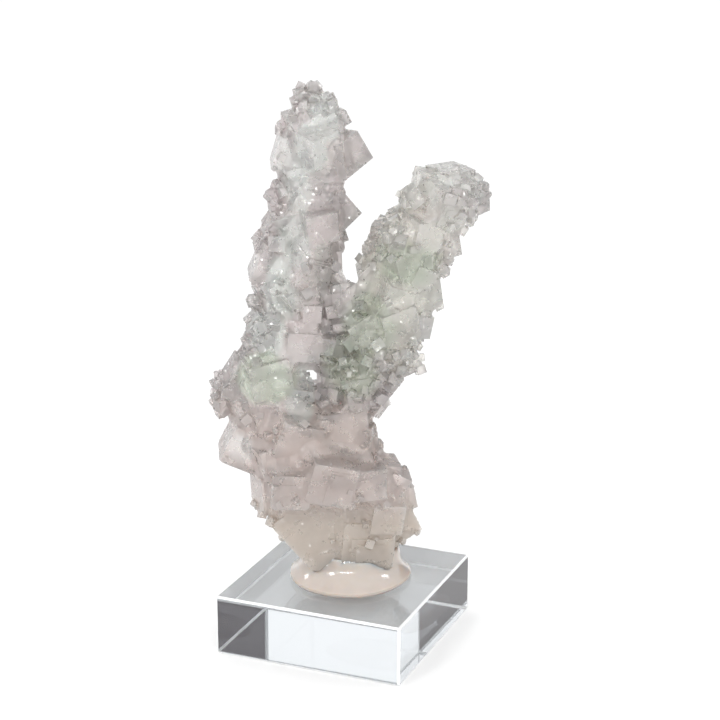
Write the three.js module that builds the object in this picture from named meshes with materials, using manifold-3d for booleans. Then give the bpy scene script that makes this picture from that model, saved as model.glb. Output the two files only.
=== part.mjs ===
// A branching growth of blocky, nearly cubic crystals, set in putty on a clear square stand.
// Millimetres, +Z up. The origin is the centre of the stand's underside.
import * as THREE from "three";
import { ConvexGeometry } from "three/addons/geometries/ConvexGeometry.js";
import { mergeVertices } from "three/addons/utils/BufferGeometryUtils.js";
import Module from "manifold-3d";

const wasm = await Module();
wasm.setup();

// Driving dimensions. The stand is a stock 2 x 2 x 5/8 inch block.
const STAND_WIDTH = 50.8;
const STAND_HEIGHT = 15.9;
const STAND_CHAMFER = 0.5;

// The putty spreads to a thin lip on the stand and climbs the foot in a hollow slope.
const PUTTY_RADIUS = 15.7;
const PUTTY_LIP_HEIGHT = 1.5;
const PUTTY_NECK_RADIUS = 12.9;
const PUTTY_TOP = 24.4;
const PUTTY_OFF_CENTRE = 1.2;
// The neck is this much shallower, front to back, than it is wide.
const PUTTY_NECK_FLATNESS = 0.22;
const SOCKET_GAP = 0.35;

// The branches spread in a plane that is turned from the stand's front by this angle.
const SPREAD_TURN = THREE.MathUtils.degToRad(22.6);

// How far each branch leans in depth by its tip, away from the viewer being positive.
const LEFT_LEAN = 4;
const RIGHT_LEAN = -3.5;
const LEAN_START = 55;
const LEAN_END = 145;

// Where the branches part from the trunk, and the gap that keeps the pieces apart.
const FORK_HEIGHT = 62;
const PART_GAP = 0.3;

// A crystal's corners are cut off by small triangular faces, by this share of its edge.
const CORNER_CUT = 0.1;
const SMALLEST_CUT_EDGE = 9.2;

// The specimen's own frame: x to the right along the spread, y away from the viewer, z up.
// A station of a branch is [x, y, z, half width along x, half depth along y].
const LEFT_STATIONS = [
  [-15, 0, 52, 13, 12],
  [-18.5, -0.5, 62, 12, 12],
  [-20, -1.5, 71, 12, 11.5],
  [-15.5, -2, 80, 10.5, 11],
  [-12.5, -1, 89, 10.5, 10],
  [-12, 1, 98, 11, 11],
  [-10, 2, 107, 10, 9.5],
  [-8, 1, 115, 10, 10],
  [-8, 0, 122, 8, 8.5],
  [-6.5, -1, 129, 10, 10],
  [-7, 0, 136, 7.5, 8],
  [-8, 0.5, 141, 4.2, 5],
];
const RIGHT_STATIONS = [
  [0, 2, 52, 9, 11],
  [2, 3, 62, 9, 11],
  [5.5, 5, 71, 11, 11.5],
  [9, 6, 80, 10.5, 11],
  [12, 6.5, 89, 11, 10.5],
  [14.5, 6, 98, 10, 10],
  [18, 5, 106, 10.5, 10],
  [22, 4.5, 112, 9.5, 9.5],
  [26, 4, 117.5, 8.5, 8.5],
  [28.5, 4, 119.5, 6.5, 7],
];
const TRUNK_STATIONS = [
  [-2, 0, 33, 15, 12],
  [-4, 0, 40, 17, 14.5],
  [-6.5, 0, 48, 18, 14.5],
  [-10, 1, 56, 15, 13],
  [-8, 1, 62, 12, 11],
];

// The line in the spread's plane along which the branches part, as [x, z], from the fork up.
const PARTING_LINE = [
  [-8.6, 0],
  [-8.6, 68],
  [-8.2, 73],
  [-5.2, 78],
  [-3, 84],
  [-2, 91],
  [2, 96],
  [6, 122],
  [12, 140],
];

// A small see-through window between the feet of the branches.
const WINDOW = { x: -8.4, z: 71.2, width: 2.6, height: 2.3, rise: THREE.MathUtils.degToRad(18) };

// Crystals that give the outline and the broad faces seen from the front:
// [x, y, z, edge, roll in the spread's plane, turn about the vertical, lean], angles in degrees.
const LEFT_CRYSTALS = [
  [-7.7, 0, 143.5, 2.6, 40, 20, 10],
  [-11, 0, 143.4, 2.4, 12, 30, 10],
  [-9.2, 0, 142, 3.8, 20, 40, 15],
  [-3.8, -1, 140.6, 3.6, 15, 25, 10],
  [-7.3, -1, 139.1, 6.5, 30, 30, 20],
  [-1, 0, 137.2, 3.6, 30, 20, 15],
  [-13, 0, 137.2, 3.8, 10, 35, 10],
  [-12.8, 1, 128.5, 9.2, -16, 6, 5],
  [0, 0, 128.6, 8.6, 35, 28, 12],
  [-6.8, -5, 131.4, 8.5, 14, 38, 20],
  [-4.8, 5, 125.8, 9.4, 25, 15, 30],
  [-16.4, 0, 117.5, 3.4, -8, 15, 5],
  [-15.4, 1, 120.5, 3, 12, 20, 5],
  [-11.3, 0, 116.4, 7.5, -20, 20, 10],
  [-2.6, -1, 114.2, 8.6, 42, 18, 8],
  [-6.3, -6, 112.3, 8, 8, 15, 12],
  [-16.8, 0, 111.1, 5.4, -32, 20, 8],
  [-4, 0, 107.4, 6, 8, 20, 5],
  [-18.6, 0, 106, 6.4, -26, 12, 6],
  [-11.3, 4, 103.4, 10, 15, 30, 20],
  [-3.6, 0, 101.8, 5.4, 2, 8, 4],
  [-17.8, 1, 99.8, 10, -24, 8, 4],
  [-8.8, -6, 101.5, 8.5, -20, 30, 12],
  [-2.8, 0, 97, 5, 22, 12, 8],
  [-17.4, 0, 91.4, 6.4, 15, 20, 15],
  [-5.6, -1, 91.2, 8.6, 6, 8, 4],
  [-11.8, -4, 92.5, 9, 28, 32, 15],
  [-8, -8.2, 90.3, 4.6, -4, 4, 2],
  [-18.6, 0, 86, 7.6, -8, 30, 12],
  [-5.8, 1, 83.1, 8.6, -14, 10, 6],
  [-10.4, -6.2, 82.3, 8.4, -5, 6, 12],
  [-18.4, 0, 78.6, 9.6, 25, 25, 15],
  [-10.3, 4, 75.7, 6.5, 20, 30, 8],
  [-26, 0, 71.4, 7.6, -28, 20, 10],
  [-19.8, -6, 73.8, 10.5, 12, 18, 14],
  [-14.4, -2, 73.5, 7.6, 8, 20, 10],
  [-29.3, 0, 67.6, 6.2, -8, 20, 12],
  [-31, 1, 64.2, 4.4, 20, 30, 12],
  [-22.8, 4, 64.1, 11.5, 18, 35, 12],
  [-15.3, -4, 67.2, 8.5, -12, 14, 10],
];
const RIGHT_CRYSTALS = [
  [21, 3, 119.4, 7.6, -13, 12, 6],
  [17.6, 3, 114.6, 6.2, 6, 25, 10],
  [24.5, 3, 121.6, 3.4, 30, 20, 20],
  [27.1, 4, 123, 2.8, 35, 30, 10],
  [29.4, 4, 118.6, 7.8, -33, 20, 10],
  [32, 4, 116, 6, 12, 30, 15],
  [25.2, -2.5, 116.5, 8.6, -12, 35, 12],
  [28.2, 4, 112.9, 6.2, 25, 20, 20],
  [12.2, 4, 106.9, 7.2, 36, 12, 6],
  [13.8, -4.2, 107.8, 6, -12, 14, 16],
  [24.4, 4, 105.2, 7.2, 12, 18, 8],
  [19.2, -3.5, 109.7, 8, -6, 30, 10],
  [8.8, 3, 103.7, 5, 20, 30, 15],
  [8.4, 4, 98.1, 7.8, -38, 12, 6],
  [14.7, -2, 100.9, 9, 20, 32, 14],
  [21.8, 4, 98.8, 5.8, 30, 20, 10],
  [19.6, -4.6, 99, 5.4, -24, 12, 8],
  [19.4, 3, 92.4, 7.8, 12, 22, 10],
  [12.2, -3, 93.4, 8.4, -22, 25, 12],
  [5.4, 3, 90.2, 6.4, 25, 20, 10],
  [18.2, 3, 84, 6.2, -9, 24, 4],
  [12.6, -4.4, 86.7, 9.4, 16, 20, 12],
  [5.2, -2.6, 84.2, 9, 30, 14, 10],
  [2.8, 3, 87.6, 5.6, 40, 10, 8],
  [1, 2, 78, 7, 26, 12, 6],
  [15, 3, 74.6, 6.8, 24, 16, 8],
  [8.8, -5.6, 78.5, 9.6, -16, 30, 14],
  [-0.4, 1, 72.9, 7.6, 14, 12, 6],
  [9.8, 2, 70.2, 7, -32, 20, 10],
  [4.2, -6, 70.8, 9.4, 10, 12, 18],
  [5.8, 3, 63.9, 6.2, 20, 20, 10],
  [-0.6, 0, 66.2, 8.4, 5, 12, 8],
  [-3.6, 0, 72, 6.4, 12, 16, 8],
  [-1.6, 1, 78.4, 5.2, 34, 20, 8],
  [-0.2, 2, 84.6, 4.4, 20, 16, 10],
  [1.2, 2, 91.6, 5.4, 38, 20, 10],
];
const TRUNK_CRYSTALS = [
  [-25.2, -1, 53.2, 11, -26, 8, 4],
  [-20.8, -3, 60.4, 9, 10, 30, 20],
  [-12.8, -8, 58.7, 11, -18, 20, 12],
  [-18.2, -6.5, 51.8, 9.5, 20, 25, 12],
  [-0.8, -3, 59.2, 12, 6, 10, 8],
  [2.4, -1, 54.8, 9.2, 4, 20, 6],
  [-13.8, -11.2, 45.3, 9.6, -3, 5, 3],
  [-3.8, -10, 47.7, 11.8, -14, 10, 8],
  [5.4, -8.8, 46.1, 8.6, 1, 16, 4],
  [-17.8, -2, 41.6, 10.6, 4, 20, 6],
  [10, -3, 46.6, 6.4, -12, 20, 10],
  [13, -3, 44, 5.8, -30, 16, 8],
  [14.4, -1, 38.4, 6.2, 14, 20, 8],
  [14.5, 0, 30.9, 7, 28, 20, 10],
  [-19.6, 0, 37.6, 5.4, -6, 25, 10],
  [10.2, -6, 35.8, 8.4, -8, 14, 6],
];

// The two big crystals of the foot, whose ends show above the putty: rows as above.
const FOOT_CRYSTALS = [
  [-7.3, -0.6, 32.8, 18.2, 40, 6, 3],
  [5, -2.6, 28.2, 13.6, -4, 10, 4],
];

// The broken base between and behind them: corners as [x, y, z].
const FOOT_CORNERS = [
  [-7, -5, 17.2],
  [6, -6.5, 17.2],
  [9.5, 0, 17.2],
  [7, 6.5, 17.2],
  [-5, 6.5, 17.2],
  [-12, 6, 27],
  [-19, 4, 34],
  [-18, 6, 41],
  [11.8, 5.5, 25],
  [12.4, 6, 34],
  [11, 7.5, 41],
  [-6, 10.5, 31],
  [4, 11, 32],
  [-4, 11.5, 41],
  [12, -7, 36],
  [9, -9, 40],
  [-17, -7, 40],
];

// A seeded generator, so that the growth is the same each time.
function seededRandom(seed) {
  let state = seed;
  return () => {
    state = (state + 0x6d2b79f5) | 0;
    let mixed = Math.imul(state ^ (state >>> 15), 1 | state);
    mixed = (mixed + Math.imul(mixed ^ (mixed >>> 7), 61 | mixed)) ^ mixed;
    return ((mixed ^ (mixed >>> 14)) >>> 0) / 4294967296;
  };
}

function solidFrom(geometry) {
  const bare = geometry.index ? geometry.toNonIndexed() : geometry.clone();
  const positions = new THREE.BufferGeometry().setAttribute("position", bare.getAttribute("position"));
  const merged = mergeVertices(positions, 1e-4);
  return new wasm.Manifold(
    new wasm.Mesh({
      numProp: 3,
      vertProperties: new Float32Array(merged.attributes.position.array),
      triVerts: new Uint32Array(merged.index.array),
    }),
  );
}

function geometryFrom(solid) {
  const mesh = solid.getMesh();
  const positions = new Float32Array(mesh.numVert * 3);
  for (let i = 0; i < mesh.numVert; i++) {
    positions.set(mesh.vertProperties.subarray(i * mesh.numProp, i * mesh.numProp + 3), i * 3);
  }
  return new THREE.BufferGeometry()
    .setAttribute("position", new THREE.BufferAttribute(positions, 3))
    .setIndex(new THREE.BufferAttribute(mesh.triVerts, 1));
}

// The largest closed body of a solid, with any sealed pocket inside it filled.
function outerBody(solid) {
  const bodies = solid.decompose();
  return bodies.reduce((best, body) => (body.volume() > best.volume() ? body : best));
}

// A nearly cubic crystal: a block whose eight corners are cut off, if it is large enough to show it.
function crystalGeometry(edge) {
  const block = new THREE.BoxGeometry(edge, edge, edge * 0.96);
  if (edge < SMALLEST_CUT_EDGE) return block;
  const reach = 1.5 * edge - CORNER_CUT * edge;
  const corners = solidFrom(new THREE.OctahedronGeometry(reach));
  return geometryFrom(solidFrom(block).intersect(corners));
}

function turnAbout(x, y, z, degrees) {
  return new THREE.Quaternion().setFromAxisAngle(new THREE.Vector3(x, y, z), THREE.MathUtils.degToRad(degrees));
}

function crystalAt([x, y, z, edge, roll, turn, lean]) {
  const turned = turnAbout(0, 1, 0, -roll).multiply(turnAbout(0, 0, 1, turn)).multiply(turnAbout(1, 0, 0, lean));
  const placed = new THREE.Matrix4().compose(new THREE.Vector3(x, y, z), turned, new THREE.Vector3(1, 1, 1));
  return solidFrom(crystalGeometry(edge).applyMatrix4(placed));
}

// Rows moved back or forwards with height. A row moved back sinks too, by the slope of the line
// of sight at its height, so that the branch keeps its outline as the viewer sees it.
function leaned(rows, most) {
  return rows.map(([x, y, z, ...others]) => {
    const back = most * THREE.MathUtils.smoothstep(z, LEAN_START, LEAN_END);
    const sightSlope = 0.285 - 0.0021 * (z - 90);
    return [x, y + back, z - sightSlope * back, ...others];
  });
}

// The branch's centre and half sizes at a share of its length.
function stationAt(stations, share) {
  const place = share * (stations.length - 1);
  const index = Math.min(Math.floor(place), stations.length - 2);
  return stations[index].map((value, i) => value + (stations[index + 1][i] - value) * (place - index));
}

// The smooth core that the crystals grow on, as wide as a share of the branch.
function coreOf(stations, share) {
  const sides = 6;
  const rings = stations.map(([x, y, z, halfWidth, halfDepth], ring) =>
    Array.from({ length: sides }, (_, i) => {
      const angle = ((i + 0.37 * ring) / sides) * 2 * Math.PI;
      const across = x + Math.cos(angle) * halfWidth * share;
      return new THREE.Vector3(across, y + Math.sin(angle) * halfDepth * share, z);
    }),
  );
  return rings.slice(1).map((ring, i) => solidFrom(new ConvexGeometry([...rings[i], ...ring])));
}

// Crystals all round a branch, each with one face roughly outwards. Fewer stand at its front,
// where the crystals of the lists are.
function coatOf(stations, { count, edges, seed, sideReach, bareFront = 0 }) {
  const random = seededRandom(seed);
  const jitter = (most) => most * (2 * random() - 1);
  const goldenAngle = 180 * (3 - Math.sqrt(5));
  const crystals = [];
  for (let i = 0; i < count; i++) {
    const [x, y, z, halfWidth, halfDepth] = stationAt(stations, (0.96 * (i + 0.5)) / count);
    const outward = i * goldenAngle + jitter(20);
    const across = Math.cos(THREE.MathUtils.degToRad(outward));
    const along = Math.sin(THREE.MathUtils.degToRad(outward));
    const edge = edges[0] + (edges[1] - edges[0]) * random();
    const tilt = [jitter(28), outward + jitter(30), jitter(30)];
    if (along < -bareFront) continue;
    const reach = 0.58 * edge;
    crystals.push([
      x + across * (halfWidth - reach) * sideReach,
      y + along * (halfDepth - reach),
      z + jitter(1.5),
      edge,
      ...tilt,
    ]);
  }
  return crystals;
}

// A thick slab between two heights.
function slab(fromHeight, toHeight) {
  const side = 200;
  const block = new THREE.BoxGeometry(side, side, toHeight - fromHeight);
  return solidFrom(block.translate(0, 0, (fromHeight + toHeight) / 2));
}

// Everything on one side of the parting line: -1 is the left, 1 the right.
function sideOfParting(side) {
  const far = 100 * side;
  const shift = (PART_GAP / 2) * side;
  const outline = new THREE.Shape();
  outline.moveTo(far, PARTING_LINE[0][1]);
  PARTING_LINE.forEach(([x, z]) => outline.lineTo(x + shift, z));
  outline.lineTo(far, 200);
  const depth = 100;
  const wall = new THREE.ExtrudeGeometry(outline, { depth, bevelEnabled: false });
  return solidFrom(wall.translate(0, 0, -depth / 2).rotateX(Math.PI / 2));
}

function windowSolid() {
  const tunnel = new THREE.BoxGeometry(WINDOW.width, 80, WINDOW.height);
  return solidFrom(tunnel.rotateX(-WINDOW.rise).translate(WINDOW.x, 0, WINDOW.z));
}

// The foot, grown outwards by a gap: nothing for the foot itself, more for its socket.
function footOf(gap) {
  const centre = new THREE.Vector3(0, 0, 28);
  const corners = FOOT_CORNERS.map((corner) => {
    const point = new THREE.Vector3(...corner);
    const outward = point.clone().sub(centre);
    return point.add(outward.setLength(gap * 1.8));
  });
  const crystals = FOOT_CRYSTALS.map(([x, y, z, edge, ...turns]) => [x, y, z, edge + 2.1 * gap, ...turns]);
  return wasm.Manifold.union([solidFrom(new ConvexGeometry(corners)), ...crystals.map(crystalAt)]);
}

function wholeGrowth() {
  const leftStations = leaned(LEFT_STATIONS, LEFT_LEAN);
  const rightStations = leaned(RIGHT_STATIONS, RIGHT_LEAN);
  const crystals = [
    ...leaned(LEFT_CRYSTALS, LEFT_LEAN),
    ...leaned(RIGHT_CRYSTALS, RIGHT_LEAN),
    ...TRUNK_CRYSTALS,
    ...coatOf(leftStations, { count: 42, edges: [6, 10], seed: 11, sideReach: 0.8, bareFront: 0.45 }),
    ...coatOf(rightStations, { count: 36, edges: [6, 9.5], seed: 23, sideReach: 0.8, bareFront: 0.45 }),
    ...coatOf(TRUNK_STATIONS, { count: 18, edges: [8, 12], seed: 37, sideReach: 0.76, bareFront: 0.2 }),
  ];
  const cores = [leftStations, rightStations, TRUNK_STATIONS].flatMap((stations) => coreOf(stations, 0.72));
  return wasm.Manifold.union([...crystals.map(crystalAt), ...cores, footOf(0)]).subtract(windowSolid());
}

function puttySolid() {
  const lip = STAND_HEIGHT + PUTTY_LIP_HEIGHT;
  const profile = new THREE.Path();
  profile.moveTo(0, STAND_HEIGHT);
  profile.lineTo(PUTTY_RADIUS - 0.8, STAND_HEIGHT);
  profile.quadraticCurveTo(PUTTY_RADIUS, STAND_HEIGHT + 0.4, PUTTY_RADIUS, lip);
  profile.bezierCurveTo(PUTTY_RADIUS - 0.3, lip + 1.2, PUTTY_NECK_RADIUS, lip + 2, PUTTY_NECK_RADIUS, PUTTY_TOP - 0.8);
  profile.lineTo(PUTTY_NECK_RADIUS - 0.7, PUTTY_TOP);
  profile.lineTo(0, PUTTY_TOP);
  const blob = new THREE.LatheGeometry(profile.getPoints(3), 32).rotateX(Math.PI / 2);
  const points = blob.getAttribute("position");
  for (let i = 0; i < points.count; i++) {
    const climbed = THREE.MathUtils.smoothstep(points.getZ(i), lip, PUTTY_TOP);
    points.setY(i, points.getY(i) * (1 - PUTTY_NECK_FLATNESS * climbed));
  }
  return outerBody(solidFrom(blob.translate(PUTTY_OFF_CENTRE, 0, 0)).subtract(footOf(SOCKET_GAP)));
}

function standGeometry() {
  const half = STAND_WIDTH / 2;
  const inner = half - STAND_CHAMFER;
  const corners = [];
  for (const sx of [-1, 1]) {
    for (const sy of [-1, 1]) {
      for (const [z, towards] of [[0, 1], [STAND_HEIGHT, -1]]) {
        corners.push(new THREE.Vector3(sx * inner, sy * inner, z));
        corners.push(new THREE.Vector3(sx * half, sy * inner, z + towards * STAND_CHAMFER));
        corners.push(new THREE.Vector3(sx * inner, sy * half, z + towards * STAND_CHAMFER));
      }
    }
  }
  return new ConvexGeometry(corners);
}

function named(name, geometry, material) {
  const mesh = new THREE.Mesh(geometry, material);
  mesh.name = name;
  return mesh;
}

const lilacCrystal = new THREE.MeshStandardMaterial({ color: 0xb9b0b4, roughness: 0.25, metalness: 0 });
const greenCrystal = new THREE.MeshStandardMaterial({ color: 0xb3b9a8, roughness: 0.25, metalness: 0 });
const clearStand = new THREE.MeshStandardMaterial({ color: 0xf2f6f8, roughness: 0.05, metalness: 0 });
const creamPutty = new THREE.MeshStandardMaterial({ color: 0xe0d2c4, roughness: 0.2, metalness: 0 });

const growth = wholeGrowth();
const branches = growth.intersect(slab(FORK_HEIGHT, 200));
const trunk = outerBody(growth.intersect(slab(0, FORK_HEIGHT - PART_GAP)));
const leftBranch = outerBody(branches.intersect(sideOfParting(-1)));
const rightBranch = outerBody(branches.intersect(sideOfParting(1)));

const specimen = new THREE.Group();
specimen.rotation.z = SPREAD_TURN;
specimen.add(named("crystal_trunk", geometryFrom(trunk), lilacCrystal));
specimen.add(named("left_branch", geometryFrom(leftBranch), lilacCrystal));
specimen.add(named("right_branch", geometryFrom(rightBranch), greenCrystal));
specimen.add(named("putty", geometryFrom(puttySolid()), creamPutty));

const object = new THREE.Group();
object.add(named("stand_block", standGeometry(), clearStand));
object.add(specimen);

export default object;
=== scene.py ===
# A branching growth of blocky crystals in cream putty on a clear square block.
# Blender works in metres. The growth is worked on in millimetres, in the frame of its own spread:
# x along the spread of the branches, y in depth, z up.
import math
import random

import bmesh
import bpy
import numpy as np
from mathutils import Matrix, Vector
from mathutils.bvhtree import BVHTree


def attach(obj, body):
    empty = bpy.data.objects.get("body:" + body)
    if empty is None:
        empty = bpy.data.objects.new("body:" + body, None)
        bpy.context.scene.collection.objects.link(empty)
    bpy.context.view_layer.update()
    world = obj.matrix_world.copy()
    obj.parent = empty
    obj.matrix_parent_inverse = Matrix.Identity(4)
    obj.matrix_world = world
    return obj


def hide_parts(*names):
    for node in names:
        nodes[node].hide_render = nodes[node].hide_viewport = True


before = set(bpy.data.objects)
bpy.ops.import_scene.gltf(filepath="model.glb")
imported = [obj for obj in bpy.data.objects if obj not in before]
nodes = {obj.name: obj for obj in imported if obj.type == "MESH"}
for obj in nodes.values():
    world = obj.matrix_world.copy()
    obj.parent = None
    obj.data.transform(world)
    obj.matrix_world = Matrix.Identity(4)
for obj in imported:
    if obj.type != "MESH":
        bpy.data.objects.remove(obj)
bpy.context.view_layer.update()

MM = 0.001
SPREAD_TURN = math.radians(22.6)
TO_WORLD = Matrix.Rotation(SPREAD_TURN, 4, "Z") @ Matrix.Scale(MM, 4)

# The camera, fitted to the block's corners in the photograph. It looks square at the spread, down
# by its elevation and from CAMERA_BACK away, and stands a little right and up in its own frame.
CAMERA_AZIMUTH = SPREAD_TURN
CAMERA_ELEVATION = math.radians(17.48)
CAMERA_LENS_MM = 100.35
CAMERA_SENSOR_MM = 36
CAMERA_NEAR = 0.01
CAMERA_BACK = 0.5329
CAMERA_RIGHT = 0.0039
CAMERA_UP = 0.0717


def new_object(name, data):
    thing = bpy.data.objects.new(name, data)
    bpy.context.scene.collection.objects.link(thing)
    return thing


def make_camera():
    a, e = CAMERA_AZIMUTH, CAMERA_ELEVATION
    back = Vector((math.sin(a) * math.cos(e), -math.cos(a) * math.cos(e), math.sin(e)))
    right = Vector((math.cos(a), math.sin(a), 0))
    up = back.cross(right)
    data = bpy.data.cameras.new("camera")
    data.lens = CAMERA_LENS_MM
    data.sensor_width = CAMERA_SENSOR_MM
    data.clip_start = CAMERA_NEAR
    camera = new_object("camera", data)
    place = back * CAMERA_BACK + right * CAMERA_RIGHT + up * CAMERA_UP
    turn = Matrix((right, up, back)).transposed().to_4x4()
    camera.matrix_world = Matrix.Translation(place) @ turn
    bpy.context.scene.camera = camera


make_camera()


# Mesh helpers

MERGE_DISTANCE = 1e-4
CUBE_CORNERS = [(x, y, z) for x in (-0.5, 0.5) for y in (-0.5, 0.5) for z in (-0.5, 0.5)]
CUBE_FACES = [(0, 1, 3, 2), (4, 6, 7, 5), (0, 4, 5, 1), (2, 3, 7, 6), (0, 2, 6, 4), (1, 5, 7, 3)]
UPRIGHT_AXES = (Vector((1, 0, 0)), Vector((0, 1, 0)), Vector((0, 0, 1)))


def mesh_from(name, vertices, faces):
    mesh = bpy.data.meshes.new(name)
    mesh.from_pydata([tuple(v) for v in vertices], [], [tuple(f) for f in faces])
    mesh.update()
    return mesh


def changed(mesh, change):
    """Runs a change on the mesh as a bmesh."""
    work = bmesh.new()
    work.from_mesh(mesh)
    change(work)
    work.to_mesh(mesh)
    work.free()
    return mesh


def outward(mesh):
    return changed(mesh, lambda work: bmesh.ops.recalc_face_normals(work, faces=work.faces))


def merge_and_triangulate(work):
    bmesh.ops.remove_doubles(work, verts=work.verts, dist=MERGE_DISTANCE)
    bmesh.ops.triangulate(work, faces=work.faces)


def local_mesh(node):
    """A copy of a CAD node's mesh in millimetres, in the frame of the spread."""
    mesh = node.data.copy()
    mesh.transform(Matrix.Rotation(-SPREAD_TURN, 4, "Z") @ Matrix.Scale(1 / MM, 4))
    return changed(mesh, merge_and_triangulate)


def boxes_mesh(name, boxes):
    """One mesh of many boxes, each given as its centre, its axes and its side lengths."""
    vertices, faces = [], []
    for centre, (u, v, w), (a, b, c) in boxes:
        first = len(vertices)
        vertices += [centre + u * x * a + v * y * b + w * z * c for x, y, z in CUBE_CORNERS]
        faces += [tuple(first + i for i in face) for face in CUBE_FACES]
    return outward(mesh_from(name, vertices, faces))


def boolean(mesh, cutter, operation):
    """Joins or cuts two closed meshes and gives the new mesh."""
    base = new_object("base", mesh)
    tool = new_object("tool", cutter)
    change = base.modifiers.new("change", "BOOLEAN")
    change.solver = "MANIFOLD"
    change.operation = operation
    change.object = tool
    graph = bpy.context.evaluated_depsgraph_get()
    graph.update()
    result = bpy.data.meshes.new_from_object(base.evaluated_get(graph))
    bpy.data.objects.remove(base)
    bpy.data.objects.remove(tool)
    return result


# The growth: the three CAD solids, closed over the gaps between them

FORK_HEIGHT = 62.0
PART_GAP = 0.3
GAP_OVERLAP = 0.05
WALL_TOLERANCE = 0.02
FORK_TOLERANCE = 0.01
PARTING_LINE = [
    (-8.6, 0),
    (-8.6, 68),
    (-8.2, 73),
    (-5.2, 78),
    (-3, 84),
    (-2, 91),
    (2, 96),
    (6, 122),
    (12, 140),
]


def closed_over_gaps(mesh, is_right):
    """Moves the cut faces of a branch across the gap, into its neighbour."""
    overlap = PART_GAP + GAP_OVERLAP
    line_x = [x for x, z in PARTING_LINE]
    line_z = [z for x, z in PARTING_LINE]
    for vertex in mesh.vertices:
        wall = float(np.interp(vertex.co.z, line_z, line_x)) + PART_GAP / 2
        if is_right and abs(vertex.co.x - wall) < WALL_TOLERANCE:
            vertex.co.x -= overlap
        if abs(vertex.co.z - FORK_HEIGHT) < FORK_TOLERANCE:
            vertex.co.z -= overlap
    mesh.update()
    return mesh


def whole_growth():
    trunk = local_mesh(nodes["crystal_trunk"])
    left = closed_over_gaps(local_mesh(nodes["left_branch"]), False)
    right = closed_over_gaps(local_mesh(nodes["right_branch"]), True)
    return boolean(boolean(trunk, left, "UNION"), right, "UNION")


# The healed mass between the blocks: the growth swelled and shrunk again, so that sharp valleys
# become soft saddles while the faces of the blocks stay as they are. The small window and the
# notch between the branches are cut out of it again, along the viewer's line of sight.

HEAL_REACH = 2.7
HEAL_SINK = 0.2
HEAL_GRAIN = 0.7
HEAL_SMOOTH_FACTOR = 0.5
HEAL_SMOOTH_PASSES = 3
CUTTER_HALF_DEPTH = 40
WINDOW_PLACE = (-8.4, 71.2)
WINDOW_SIZE = (2.6, 2.3)
SIGHT_RISE = math.radians(18)

# The notch's outline as [x, z], and how far the line of sight falls over its depth.
NOTCH = [
    (2.6, 93.6),
    (-0.2, 97.0),
    (-1.6, 101.6),
    (-1.3, 108.0),
    (0.7, 112.8),
    (3.4, 118.3),
    (1.8, 124.0),
    (0.0, 126.0),
    (0.0, 160.0),
    (14.0, 160.0),
    (13.4, 118.5),
    (10.5, 114.7),
    (6.0, 108.0),
    (4.8, 104.4),
    (4.3, 99.7),
]
NOTCH_SIGHT_SLOPE = 0.254


def inside(point, corners):
    """Whether a point is inside an outline: its ray to the right crosses it an odd number of times."""
    is_odd = False
    for (x1, y1), (x2, y2) in zip(corners, corners[1:] + corners[:1]):
        if (y1 > point[1]) != (y2 > point[1]):
            if point[0] < x1 + (point[1] - y1) * (x2 - x1) / (y2 - y1):
                is_odd = not is_odd
    return is_odd


def notch_cutter():
    vertices = []
    for y in (-CUTTER_HALF_DEPTH, CUTTER_HALF_DEPTH):
        vertices += [Vector((x, y, z - NOTCH_SIGHT_SLOPE * y)) for x, z in NOTCH]
    count = len(NOTCH)
    faces = [tuple(range(count)), tuple(range(2 * count - 1, count - 1, -1))]
    faces += [(i, i + count, (i + 1) % count + count, (i + 1) % count) for i in range(count)]
    mesh = mesh_from("notch", vertices, faces)
    return outward(changed(mesh, lambda work: bmesh.ops.triangulate(work, faces=work.faces)))


def in_notch(point, room):
    seen_height = point.z + NOTCH_SIGHT_SLOPE * point.y
    around = [(0, 0), (room, 0), (-room, 0), (0, room), (0, -room)]
    return any(inside((point.x + dx, seen_height + dz), NOTCH) for dx, dz in around)


def window_cutter():
    sides = (WINDOW_SIZE[0], 2 * CUTTER_HALF_DEPTH, WINDOW_SIZE[1])
    mesh = boxes_mesh("window", [(Vector((0, 0, 0)), UPRIGHT_AXES, sides)])
    place = Matrix.Translation((WINDOW_PLACE[0], 0, WINDOW_PLACE[1]))
    mesh.transform(place @ Matrix.Rotation(-SIGHT_RISE, 4, "X"))
    return mesh


def in_window(point, room):
    seen_height = point.z + math.tan(SIGHT_RISE) * point.y
    return abs(point.x - WINDOW_PLACE[0]) < room and abs(seen_height - WINDOW_PLACE[1]) < room


def voxel_remesh(body):
    remesh = body.modifiers.new("remesh", "REMESH")
    remesh.mode = "VOXEL"
    remesh.voxel_size = HEAL_GRAIN


def healed(mesh):
    body = new_object("body", mesh.copy())
    for strength in (HEAL_REACH, -HEAL_REACH - HEAL_SINK):
        voxel_remesh(body)
        push = body.modifiers.new("push", "DISPLACE")
        push.mid_level = 0
        push.strength = strength
    smooth = body.modifiers.new("smooth", "SMOOTH")
    smooth.factor = HEAL_SMOOTH_FACTOR
    smooth.iterations = HEAL_SMOOTH_PASSES
    voxel_remesh(body)
    graph = bpy.context.evaluated_depsgraph_get()
    graph.update()
    soft = bpy.data.meshes.new_from_object(body.evaluated_get(graph))
    bpy.data.objects.remove(body)
    soft = boolean(soft, window_cutter(), "DIFFERENCE")
    soft = boolean(soft, notch_cutter(), "DIFFERENCE")
    return boolean(mesh, soft, "UNION")


# Crystals that are grown on. Each is a centre, its axes and its edge.

GRID_CELL = 5
NEIGHBOURS = [(x, y, z) for x in (-1, 0, 1) for y in (-1, 0, 1) for z in (-1, 0, 1)]
CRYSTAL_REACH = 0.9
SECOND_SIDE = (0.8, 1.1)
THIRD_SIDE = (0.85, 1.1)


def random_count(amount, rng):
    """A whole number that is the given amount on average."""
    return int(amount) + (rng.random() < amount % 1)


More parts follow.
